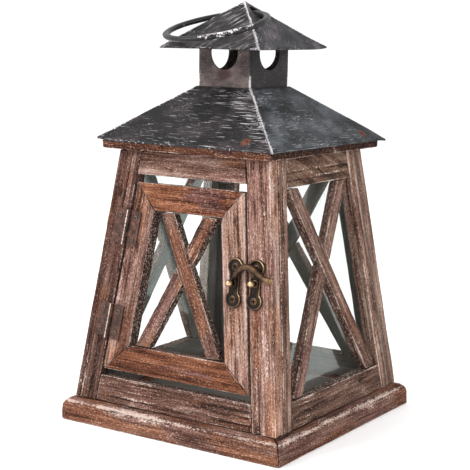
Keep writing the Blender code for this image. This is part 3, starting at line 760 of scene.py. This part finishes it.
def rusty_steel(name, dark, body, rust, bright):
    """Cheap steel ware gone brown: rust in the hollows, bright where it is rubbed."""
    finish = Finish(name, Metallic=0.55)
    place = finish.node("TexCoord", output="Object")
    rubbed = finish.attribute("wear")[1]
    cloudy = finish.cloud(place, (420, 420, 420), 4.0, 0.65)
    grain = finish.cloud(place, (1500, 1500, 1500), 3.0, 0.6)
    colour = finish.ramp(cloudy, [(0.36, dark), (0.5, body), (0.62, rust)])
    worn = (rubbed + (grain - 0.5) * 1.2).above(0.55, 0.85)
    colour = finish.mix(worn * 0.8, colour, bright)
    return finish.surface(colour, (0.45 + cloudy * 0.4 - worn * 0.15).clamped(),
                          grain + cloudy, 0.00012)


nail_steel = rusty_steel("nail_steel", (0.05, 0.018, 0.010), (0.13, 0.04, 0.018),
                         (0.22, 0.07, 0.03), (0.4, 0.3, 0.25))
roof_eave, roof_eave_z, roof_turn = square_of("roof", False)
roof_head, roof_head_z = square_of("roof", True)[:2]
roof_pitch = math.atan2(roof_head_z - roof_eave_z, roof_eave - roof_head)
NAIL_HEAD = [(0.05, 0.62), (0.6, 0.55), (1.05, 0.32), (1.25, 0.02), (1.1, -0.3)]
for side, wall in enumerate(OUTWARD):
    for across, up in NAILS:
        spot = Vector((across, up * math.cos(roof_pitch), up * math.sin(roof_pitch))) * MM
        spot += Vector((0, -roof_eave, roof_eave_z))
        place = (Matrix.Rotation(side * math.pi / 2 + roof_turn, 4, "Z")
                 @ Matrix.Translation(spot) @ Matrix.Rotation(roof_pitch, 4, "X"))
        dome = [(radius * MM, height * MM) for radius, height in NAIL_HEAD]
        nail = lathe(f"roof_nail_{wall}", dome, place, 14, nail_steel)
        piece_from(f"roof_nail_{wall}", nail, "body")

# ---------------------------------------------------------------------------------------------
# Chimney: a square tube of the same sheet, one seam at the back, with a round vent punched
# through each side. It stands in the roof's top opening and the cap sits on it.

chimney_metal = dry_brushed("chimney_metal", [(0.040, 0.030, 0.028), (0.088, 0.064, 0.060),
                                              (0.140, 0.108, 0.100)], (0.30, 0.28, 0.27),
                            (0.85, 0.83, 0.82), (0.045, 0.022, 0.020), 0.10,
                            Specular_IOR_Level=0.22)
chimney_half, chimney_high, chimney_turn = square_of("chimney", True)
chimney_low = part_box("chimney")[0].z
CHIMNEY_VENT = 9.7 * MM
CHIMNEY_VENT_Z = 213.2 * MM
# Painted light and shade for the front, right, back and left sides.
CHIMNEY_LIGHT = (1.0, 0.30, 0.6, 0.6)
CHIPPED_Z = 195.0               # middle of the chipped stretch at the corners' foot, mm
SOOT_DROP = 12.0                # middle of the stain below the front vent, mm


def chimney_tube():
    """The tube as a lofted sheet with its corners folded, then punched."""
    side_steps, rows, fold = 26, 22, 0.9 * MM
    points, sheet, wear, stain = [], [], [], []
    for row in range(rows + 1):
        z = chimney_low + (chimney_high - chimney_low) * row / rows
        for side in range(4):
            turn = Matrix.Rotation(side * math.pi / 2 + chimney_turn, 2)
            away = turn @ Vector((0, -1))
            for step in range(side_steps):
                along = -1 + 2 * step / side_steps
                flat = turn @ on_square(along, chimney_half, fold)
                spot = Vector((flat.x, flat.y, z)) / MM
                dent = 0.2 * noise.noise(spot / 11) - 0.1
                flat += away * dent * MM * (1 - abs(along) ** 4)
                corner = math.exp(-((1 - abs(along)) * chimney_half / MM / 1.1) ** 2)
                low = math.exp(-((z / MM - CHIPPED_Z) / 6.5) ** 4)
                soot = math.exp(-((along * chimney_half / MM / 8) ** 2
                                  + (((z - CHIMNEY_VENT_Z) / MM + SOOT_DROP) / 5) ** 2))
                points.append((flat.x, flat.y, z))
                sheet.append((along * chimney_half / MM, z / MM, side * 60.0))
                wear.append((corner * (0.1 + 1.1 * low), dent, 0.9 * soot * (side == 0)))
                # Each side's painted light and shade, and painted grey reflection on the right side.
                stain.append((CHIMNEY_LIGHT[side], float(side == 1) * 0.6, 0))
    tube = folded_sheet("chimney_tube", points, bands(rows + 1, 4 * side_steps),
                        {"sheet": sheet, "wear": wear, "stain": stain}, "body",
                        chimney_metal, "chimney")
    punches = [round_cutter(CHIMNEY_VENT, 4 * chimney_half, (0, 0, CHIMNEY_VENT_Z), axis)
               for axis in "XY"]
    for punch in punches:
        punch.transform(Matrix.Rotation(chimney_turn, 4, "Z"))
    drilled(tube, *punches)
    tube.data.shade_smooth()
    tube.data.set_sharp_from_angle(angle=math.radians(40))
    return tube


chimney_tube()

# ---------------------------------------------------------------------------------------------
# Cap: a small pyramid of the same folded sheet over the chimney, bored near its top for the ring.

RING_HOLE = 4.0 * MM


def joint_line(name):
    """A joint's place and the direction of its axis."""
    joint = next(joint for joint in frame["record"]["behaviour"]["joints"]
                 if joint["name"] == name)
    return Vector(joint["pos_m"]), Vector(joint["axis"])


# The cap's right slope is painted brightest, as painted highlight, and each slope gets some painted
# grey reflection.
cap = hood("cap", "cap_sheet", "body", roof_metal, 0.7,
           bends=[(1, 1, 0.8, 0)], light=(0.45, 1.3, 0.7, 0.8), painted_reflection=(0.2, 0.35, 0.4, 0.4),
           drag=(math.radians(50), 0.9, -1.2))
drilled(cap, round_cutter(RING_HOLE, 0.06, joint_line("ring_swing")[0], "X", 40))

# ---------------------------------------------------------------------------------------------
# Ring handle: 3 mm steel wire bent round and butt-welded, dipped in dark paint. It swings in the
# cap's two holes.

RING_FLATNESS = 0.75            # the wire's thickness through the ring's plane, over its width
WELD_ANGLE = 3.3                # where the butt weld's bead is, radians round the ring
SCUFFED = Vector((0.0185, -0.0455))             # middle of the scuffed stretch, over the cap
SCUFF_REACH = 17 * MM


def ring_finish():
    """Black dipped paint, pooled and pitted, chipped white where the ring drops on the cap, with the
    chips mostly on the wire's upper side as painted highlight.
    """
    finish = Finish("ring_wire", Specular_IOR_Level=0.25)
    place = finish.node("TexCoord", output="Object")
    spots = finish.cloud(place, (260, 260, 260), 4.0, 0.6)
    fine = finish.cloud(place, (1400, 1400, 1400), 3.0, 0.6)
    colour = finish.ramp(spots, [(0.4, (0.006, 0.006, 0.007)), (0.62, (0.014, 0.013, 0.013)),
                                 (0.74, (0.09, 0.085, 0.085))])
    rub = finish.attribute("wear")[1]
    # Pale chips of scuffed paint, and painted highlight along the wire's upper side.
    chips = (rub + (fine - 0.5) * 2.0 + (spots - 0.5) * 2.4).above(0.70, 0.92)
    colour = finish.mix(chips * 0.9, colour, (0.78, 0.72, 0.72))
    return finish.surface(colour, (0.22 + spots * 0.3).clamped(), spots + fine * 0.4, 0.0003)


def wire_ring():
    """The CAD ring again as a slightly bowed wire, flattened a little, with its weld."""
    points = np.array([vertex.co for vertex in frame["nodes"]["ring_handle"].data.vertices])
    middle = points.mean(0)
    _, _, ways = np.linalg.svd(points - middle, full_matrices=False)
    flat = (points - middle) @ ways[:2].T
    reach = np.hypot(flat[:, 0], flat[:, 1])
    radius, wire = (reach.max() + reach.min()) / 2, (reach.max() - reach.min()) / 2
    across, along = Vector(ways[0]), Vector(ways[1])
    normal = across.cross(along)
    turns, sides = 180, 16
    ring_points, faces, scuffs_and_highlight = [], [], []
    for turn in range(turns):
        angle = 2 * math.pi * turn / turns
        out = across * math.cos(angle) + along * math.sin(angle)
        weld = math.exp(-((angle - WELD_ANGLE) / 0.05) ** 2)
        bow = 0.25 * MM * noise.noise(out * 1.7)
        thick = wire * (0.975 + 0.025 * noise.noise(out * 6)) + 0.18 * MM * weld
        for side in range(sides):
            around = 2 * math.pi * side / sides
            ring_points.append(Vector(middle) + out * (radius + bow + math.cos(around) * thick)
                               + normal * math.sin(around) * thick * RING_FLATNESS)
            from_scuff = ring_points[-1].xy - SCUFFED
            over = math.exp(-(from_scuff.length / SCUFF_REACH) ** 4)
            # Chips where the ring lies over the cap, most on the wire's upper side as painted
            # highlight.
            scuffs_and_highlight.append((over * (0.55 + 0.45 * math.sin(around) * math.copysign(1, normal.z)),
                         0, 0))
            after = (side + 1) % sides
            there = (turn + 1) % turns
            faces.append((turn * sides + side, there * sides + side, there * sides + after,
                          turn * sides + after))
    mesh = bpy.data.meshes.new("ring_wire")
    mesh.from_pydata(ring_points, [], faces)
    paint(mesh, "wear", scuffs_and_highlight)
    mesh.shade_smooth()
    mesh.materials.append(ring_finish())
    return mesh


piece_from("ring_handle_wire", wire_ring(), "ring_handle", ["ring_handle"])

# ---------------------------------------------------------------------------------------------
# Butt hinges: stamped steel leaves with rolled knuckles on a wire pin, gone brown with rust,
# with a painted highlight along the barrel. Two small cross-head screws hold each leaf.

door_axis, door_way = joint_line("door_hinge")
pivot, wall_normal = joint_line("latch_pivot")
hinge_up = -door_way
hinge_side = hinge_up.cross(wall_normal).normalized()


def hinge_finish():
    """Rust brown iron, with a narrow painted highlight along the barrel."""
    finish = Finish("hinge_iron", Metallic=0.5)
    place = finish.node("TexCoord", output="Object")
    offset = finish.node("VectorMath", {"operation": "SUBTRACT"}, {0: place, 1: door_axis})
    crossed = finish.node("VectorMath", {"operation": "CROSS_PRODUCT"}, {0: offset, 1: door_way})
    from_pin = finish.node("VectorMath", {"operation": "LENGTH"}, {0: crossed}, "Value") * (1 / MM)
    cloudy = finish.cloud(place, (330, 330, 330), 5.0, 0.7)
    grain = finish.cloud(place, (1300, 1300, 1300), 3.0, 0.65)
    colour = finish.ramp(cloudy, [(0.36, (0.022, 0.012, 0.010)), (0.48, (0.060, 0.028, 0.020)),
                                  (0.60, (0.120, 0.052, 0.034)), (0.72, (0.19, 0.10, 0.07))])
    lean = finish.node("VectorMath", {"operation": "DOT_PRODUCT"}, {0: offset, 1: hinge_side},
                       "Value") * (1 / MM) - 0.3
    # A narrow painted highlight along one side of the barrel.
    barrel = (1.0 - from_pin.above(1.7, 2.1)) * (1.0 - (lean * lean).above(0.02, 0.20))
    bright = (barrel + (grain - 0.5) * 1.0 + (cloudy - 0.5) * 1.6).above(0.6, 1.0)
    colour = finish.mix(bright * 0.8, colour, (0.66, 0.57, 0.50))
    return finish.surface(colour, (0.5 + cloudy * 0.35 - bright * 0.15).clamped(),
                          grain + cloudy, 0.00018)


hinge_iron = hinge_finish()
pin_steel = rusty_steel("pin_steel", (0.05, 0.03, 0.025), (0.22, 0.17, 0.14),
                        (0.42, 0.36, 0.31), (0.75, 0.68, 0.60))
screw_steel = rusty_steel("screw_steel", (0.018, 0.010, 0.008), (0.045, 0.024, 0.017),
                          (0.090, 0.045, 0.028), (0.16, 0.11, 0.085))
HINGE_SCREW = (1.55 * MM, 0.55 * MM)            # a head's radius and height
SCREW_OUT, SCREW_UP = 5.4 * MM, 6.2 * MM        # a screw's place from its hinge's middle
LEAF_BEHIND = 0.6 * MM          # the leaves' face behind the pin's axis


def cross_screw(name, place, radius, rise, body, slot, finish, turn, rub=1.0):
    """A pan-head screw with a cross recess, its head's underside at the place's origin.

    turn is the recess's angle, and rub makes the whole head brighter or duller. The cross recess is
    painted dark, as painted shade.
    """
    dome = [(0.02 * MM, rise, 1)] + [(radius * math.sin(a), rise * (0.35 + 0.65 * math.cos(a)),
                                      0.75 if a < 1.2 else 0.2)
                                     for a in np.linspace(0.25, 1.45, 6)]
    dome += [(radius, rise * 0.2, 0.5), (radius * 0.97, 0, 0)]
    spin = place @ Matrix.Rotation(turn, 4, "Z")
    head = piece_from(name, lathe(name, dome, spin, 28, finish), body)
    slots = []
    for quarter in (0, math.pi / 2):
        shape = bmesh.new()
        bmesh.ops.create_cube(shape, size=1, matrix=spin @ Matrix.Rotation(quarter, 4, "Z")
                              @ Matrix.Translation((0, 0, rise))
                              @ Matrix.Diagonal((radius * 1.2, radius * 0.32, rise * 1.1, 1)))
        blade = bpy.data.meshes.new("blade")
        shape.to_mesh(blade)
        shape.free()
        slots.append(blade)
    drilled(head, *slots)
    # Paint the cross recess dark, as painted shade in it.
    out = spin.inverted()
    wear = read_vectors(head.data, "wear") * rub
    for vertex in head.data.vertices:
        local = out @ vertex.co
        sides = sorted((abs(local.x), abs(local.y)))
        if sides[0] < 0.17 * radius and sides[1] < 0.62 * radius and local.z < rise * 0.85:
            wear[vertex.index] = -0.4
    paint(head.data, "wear", wear)


for label in ("upper", "lower"):
    for leaf in ("frame_leaf", "door_leaf", "pin"):
        ware = frame["nodes"][f"hinge_{label}_{leaf}"]
        ware.material_slots[0].material = pin_steel if leaf == "pin" else hinge_iron
    pin_low, pin_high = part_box(f"hinge_{label}_pin")
    centre = (pin_low + pin_high) / 2
    for leaf, side, body in (("frame_leaf", -1, "body"), ("door_leaf", 1, "door")):
        for row in (-1, 1):
            spot = centre + hinge_side * side * SCREW_OUT + hinge_up * row * SCREW_UP
            spot -= wall_normal * LEAF_BEHIND
            basis = Matrix((hinge_side, hinge_up, wall_normal)).transposed().to_4x4()
            cross_screw(f"hinge_{label}_{leaf}_screw_{'low' if row < 0 else 'high'}",
                        Matrix.Translation(spot) @ basis, *HINGE_SCREW, body,
                        "hinge_iron", screw_steel, 0.4 + row * 0.3 + side * 0.5)

# ---------------------------------------------------------------------------------------------
# Hook latch: two pressed brass plates with raised rims, each on two cross-head screws, a cast
# horn arm on a ball-headed rivet, and a ball catch. Blackened, then rubbed back to gold, with a
# painted highlight on the plates' rims.


def antique(name):
    """Brass blackened in its hollows, brown between, and gold where it is rubbed and where the
    plates' rims carry a painted highlight.
    """
    finish = Finish(name, Metallic=0.85)
    place = finish.node("TexCoord", output="Object")
    rubbed = finish.attribute("wear")[1]
    cloudy = finish.cloud(place, (300, 300, 300), 4.0, 0.6)
    grain = finish.cloud(place, (1100, 1100, 1100), 3.0, 0.65)
    colour = finish.ramp(rubbed + (cloudy - 0.5) * 0.6, [
        (0.05, (0.010, 0.008, 0.007)), (0.30, (0.045, 0.026, 0.016)),
        (0.50, (0.150, 0.086, 0.046))])
    # Gold where rubbed, and on the plates' rims where a painted highlight is set.
    gold = (rubbed + (grain - 0.5) * 0.9 + (cloudy - 0.5) * 1.2).above(0.68, 1.05)
    colour = finish.mix(gold * 0.85, colour, (0.80, 0.58, 0.32))
    return finish.surface(colour, (0.36 + cloudy * 0.25 - gold * 0.12).clamped(),
                          grain * 0.6 + cloudy, 0.00016)


antique_brass = antique("antique_brass")
PLATE_SPREAD = 8.8 * MM         # each lobe's centre from the plate's middle
PLATE_LOBE = 4.9 * MM           # a lobe's radius
PLATE_HALF = 0.45 * MM          # half the plate's thickness
PLATE_FLOOR = 0.5 * MM          # where a screw's head bears inside the raised rim
PLATE_SCREW = (2.3 * MM, 0.8 * MM)
WAIST = math.radians(50)        # how far each lobe's arc runs past its half circle
# From the back's edge over the rim to the middle: set in, raised, and how rubbed.
PLATE_RINGS = [(-0.10, 0.0, 0), (-0.02, 0.55, 0.1), (0.25, 1.0, 0.6), (0.55, 1.12, 0.8),
               (0.9, 0.98, 0.45), (1.2, 0.55, 0), (1.7, 0.42, 0), (2.2, 0.60, 0.25),
               (3.6, 0.55, 0.1)]


def pressed_plate(node, body):
    """A waisted plate as rings of one outline, each set in and raised or lowered, mm."""
    low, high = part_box(node)
    middle = (low + high) / 2 - wall_normal * PLATE_HALF
    right = Vector((1, 0, 0))
    up = wall_normal.cross(right)
    steps, sweep = 26, math.pi + 2 * WAIST
    points, values = [], []
    ring = 2 * (steps + 1)
    for inset, height, rub in PLATE_RINGS:
        radius = PLATE_LOBE - inset * MM
        for lobe in (1, -1):
            for step in range(steps + 1):
                angle = lobe * math.pi / 2 - sweep / 2 + sweep * step / steps
                x = radius * math.cos(angle)
                y = lobe * PLATE_SPREAD + radius * math.sin(angle)
                points.append(middle + right * x + up * y + wall_normal * height * MM)
                # Each lobe's rim brighter towards its upper right, as painted highlight.
                lit = 0.5 + 0.6 * max(0, math.cos(angle - 0.6))
                values.append((rub * lit, 0, 0))
    faces = bands(len(PLATE_RINGS), ring)
    last = (len(PLATE_RINGS) - 1) * ring
    faces.append(tuple(last + k for k in range(ring)))
    faces.append(tuple(reversed(range(ring))))
    mesh = skin_from(node, points, faces, {"wear": values}, sharp=60, cut_caps=True)
    mesh.materials.append(antique_brass)
    piece_from(node + "_pressed", mesh, body, [node])
    basis = Matrix((right, up, wall_normal)).transposed().to_4x4()
    for lobe, label in ((1, "high"), (-1, "low")):
        spot = middle + up * lobe * PLATE_SPREAD + wall_normal * PLATE_FLOOR
        cross_screw(f"{node}_screw_{label}", Matrix.Translation(spot) @ basis, *PLATE_SCREW,
                    body, "antique_brass", antique_brass, 0.5 + lobe * 0.35, 0.5)
    return right, up, basis


pressed_plate("latch_door_plate", "door")
plate_right, plate_up, plate_basis = pressed_plate("latch_frame_plate", "body")

catch_low, catch_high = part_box("latch_catch")


def ball_on_stem(radius, middle, stem, foot, flange):
    """Profile of a turned knob, ball top to flanged foot, with how rubbed each part is."""
    low = -math.pi / 2 + math.asin(stem / radius)
    angles = np.linspace(math.pi / 2 - 0.05, low, 16)
    ball = [(radius * math.cos(a), middle + radius * math.sin(a), 0.35 + 0.6 * math.sin(a))
            for a in angles]
    return ball + [(stem, foot + 0.5 * MM, 0.1), (flange, foot + 0.3 * MM, 0.5),
                   (flange, foot, 0.1)]


def turned_knob(node, spot, profile, body):
    """A knob turned about the wall's normal, in place of its CAD node."""
    place = Matrix.Translation(spot) @ plate_basis
    mesh = lathe(node + "_turned", profile, place, 36, antique_brass)
    piece_from(node + "_turned", mesh, body, [node])


RIVET_BALL, CATCH_BALL = 1.9 * MM, 2.1 * MM
turned_knob("latch_rivet", pivot, ball_on_stem(RIVET_BALL, 5.5 * MM, 0.8 * MM, 1.3 * MM,
                                              0.8 * MM), "door")
catch_top = max((vertex.co - pivot).dot(wall_normal)
                for vertex in frame["nodes"]["latch_catch"].data.vertices)
catch_spot = (catch_low + catch_high) / 2
catch_spot -= wall_normal * (catch_spot - pivot).dot(wall_normal)
turned_knob("latch_catch", catch_spot, ball_on_stem(CATCH_BALL, catch_top - CATCH_BALL,
                                                   1.4 * MM, 1.2 * MM, 2.0 * MM), "body")

# The arm, in millimetres from its pivot: right, up the slope, out of the wall, and thickness.
HORN = [(0.2, 1.9, 2.6, 1.0), (1.0, 2.9, 3.1, 1.2), (1.9, 4.4, 3.6, 1.35), (3.4, 6.6, 3.8, 1.55),
        (6.2, 9.0, 3.9, 1.75), (9.6, 9.9, 3.9, 1.95), (13.0, 9.0, 3.9, 1.9), (16.2, 6.9, 3.8, 1.7),
        (18.8, 5.1, 3.7, 1.5), (20.6, 4.3, 3.7, 1.5), (21.9, 3.9, 3.7, 1.9),
        (23.4, 3.6, 3.7, 2.2), (24.7, 3.3, 3.7, 1.8), (25.3, 3.2, 3.7, 0.7)]
HORN_BALL = HORN[11]            # the ball at the horn's tip
FINGER = [(13.3, 9.0, 3.9, 1.1), (13.5, 7.0, 3.8, 1.15), (13.4, 5.2, 3.7, 1.0),
          (13.4, 4.2, 3.7, 0.7)]
CASTING_GRAIN = 0.22 * MM       # mesh cells of the casting
EYE = [(2.0 * math.cos(a), 2.0 * math.sin(a), 2.4, 0.85)
       for a in np.linspace(0, 2 * math.pi, 25)[:-1]]


def by_pivot(x, y, z):
    """A place given in millimetres from the arm's pivot: right, up the slope, out of the wall."""
    return pivot + (plate_right * x + plate_up * y + wall_normal * z) * MM


def swept_rod(rod, closed):
    """A round rod of changing thickness through its points, as a mesh."""
    curve = bpy.data.curves.new("rod", "CURVE")
    curve.dimensions = "3D"
    curve.bevel_depth = MM
    curve.bevel_resolution = 4
    curve.use_fill_caps = True
    spline = curve.splines.new("POLY" if closed else "NURBS")
    spline.points.add(len(rod) - 1)
    if not closed:
        spline.order_u = 3
        spline.use_endpoint_u = True
        spline.resolution_u = 6
    spline.use_cyclic_u = closed
    for point, (x, y, z, thick) in zip(spline.points, rod):
        point.co = (*by_pivot(x, y, z), 1)
        point.radius = thick
    holder = bpy.data.objects.new("rod", curve)
    bpy.context.collection.objects.link(holder)
    bpy.context.view_layer.update()
    swept = bpy.data.meshes.new_from_object(
        holder.evaluated_get(bpy.context.evaluated_depsgraph_get()))
    bpy.data.objects.remove(holder)
    return swept


def cast_arm():
    """Swept rods joined into one casting by a fine remesh, then smoothed."""
    whole = bmesh.new()
    for rod, closed in ((HORN, False), (FINGER, False), (EYE, True)):
        whole.from_mesh(swept_rod(rod, closed))
    bmesh.ops.remove_doubles(whole, verts=whole.verts, dist=1e-6)
    mesh = bpy.data.meshes.new("latch_arm_cast")
    whole.to_mesh(mesh)
    whole.free()
    arm = piece_from("latch_arm_cast", mesh, "latch_arm", ["latch_arm"])
    join = arm.modifiers.new("join", "REMESH")
    join.mode, join.voxel_size = "VOXEL", CASTING_GRAIN
    smooth = arm.modifiers.new("smooth", "SMOOTH")
    smooth.factor, smooth.iterations = 0.5, 6
    settled(arm)
    ball = by_pivot(*HORN_BALL[:3])
    values = []
    for vertex in arm.data.vertices:
        proud = (vertex.co - pivot).dot(wall_normal) / MM
        near = math.exp(-((vertex.co - ball).length / (2.6 * MM)) ** 4)
        values.append((0.16 + 0.20 * min(1, max(0, (proud - 3.8) / 1.4)) + 0.6 * near, 0, 0))
    paint(arm.data, "wear", values)
    arm.data.materials.clear()
    arm.data.materials.append(antique_brass)
    arm.data.shade_smooth()


cast_arm()

# ---------------------------------------------------------------------------------------------
# Stage: a white floor under a white sky, a large soft light from the front left, a weaker one
# from the right, and the camera.

bpy.ops.mesh.primitive_plane_add(size=60)
floor = bpy.context.object
floor.name = "floor"
pale = Finish("pale_floor")
pale.surface((0.95, 0.95, 0.948, 1), 0.9)
pale.shader.inputs["Emission Color"].default_value = (1, 1, 1, 1)
pale.shader.inputs["Emission Strength"].default_value = 0.12
floor.data.materials.append(pale.material)

world = bpy.data.worlds.new("studio")
bpy.context.scene.world = world
world.use_nodes = True
world.node_tree.nodes["Background"].inputs["Color"].default_value = (1, 1, 1, 1)
world.node_tree.nodes["Background"].inputs["Strength"].default_value = 1.02


def soft_light(name, place, size, power):
    """A square softbox that faces the lantern's middle."""
    lamp = bpy.data.lights.new(name, "AREA")
    lamp.size, lamp.energy = size, power
    holder = bpy.data.objects.new(name, lamp)
    holder.location = place
    aim = Vector((0, 0, 0.12)) - Vector(place)
    holder.rotation_euler = aim.to_track_quat("-Z", "Y").to_euler()
    bpy.context.collection.objects.link(holder)


soft_light("key", (-0.75, -1.1, 1.0), 0.7, 22)
soft_light("fill", (1.3, -0.3, 0.7), 0.8, 8)

CAMERA_PLACE = Vector((0.41648, -0.63139, 0.22853))
AZIMUTH, PITCH, ROLL = math.radians(33.69), math.radians(9.14), math.radians(0.78)
view = bpy.data.cameras.new("camera")
view.sensor_width = 36
view.lens = 99.9
camera = bpy.data.objects.new("camera", view)
camera.matrix_world = (Matrix.Translation(CAMERA_PLACE) @ Matrix.Rotation(AZIMUTH, 4, "Z")
                       @ Matrix.Rotation(math.pi / 2 - PITCH, 4, "X")
                       @ Matrix.Rotation(ROLL, 4, "Z"))
bpy.context.collection.objects.link(camera)
bpy.context.scene.camera = camera
bpy.context.scene.view_settings.view_transform = "Standard"
